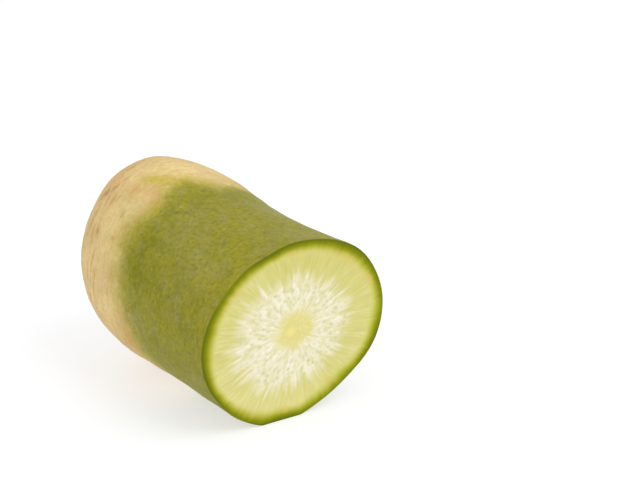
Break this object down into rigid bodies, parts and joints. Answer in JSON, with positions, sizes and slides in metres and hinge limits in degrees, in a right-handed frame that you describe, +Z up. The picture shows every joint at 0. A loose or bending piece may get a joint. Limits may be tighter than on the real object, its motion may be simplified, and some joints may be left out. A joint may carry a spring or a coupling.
{
  "type": "green radish",
  "caption": "Tail half of a green radish, cut across: green skin, pale blunt tail, and a flat cut face with white and yellow-green flesh.",
  "frame": {"origin": "on the surface that the root rests on, under the middle of its box", "axes": "+X along the root, from the tail towards the cut face; +Z up"},
  "size_m": [0.1024, 0.0752, 0.075],
  "materials": {
    "radish_skin": "satin olive-green skin, cream and tan towards the tail, finely speckled",
    "radish_flesh": "moist cut flesh, pale yellow-green with a white star and a green rind"
  },
  "bodies": {
    "root": {"green_radish": "radish_skin"}
  },
  "joints": []
}
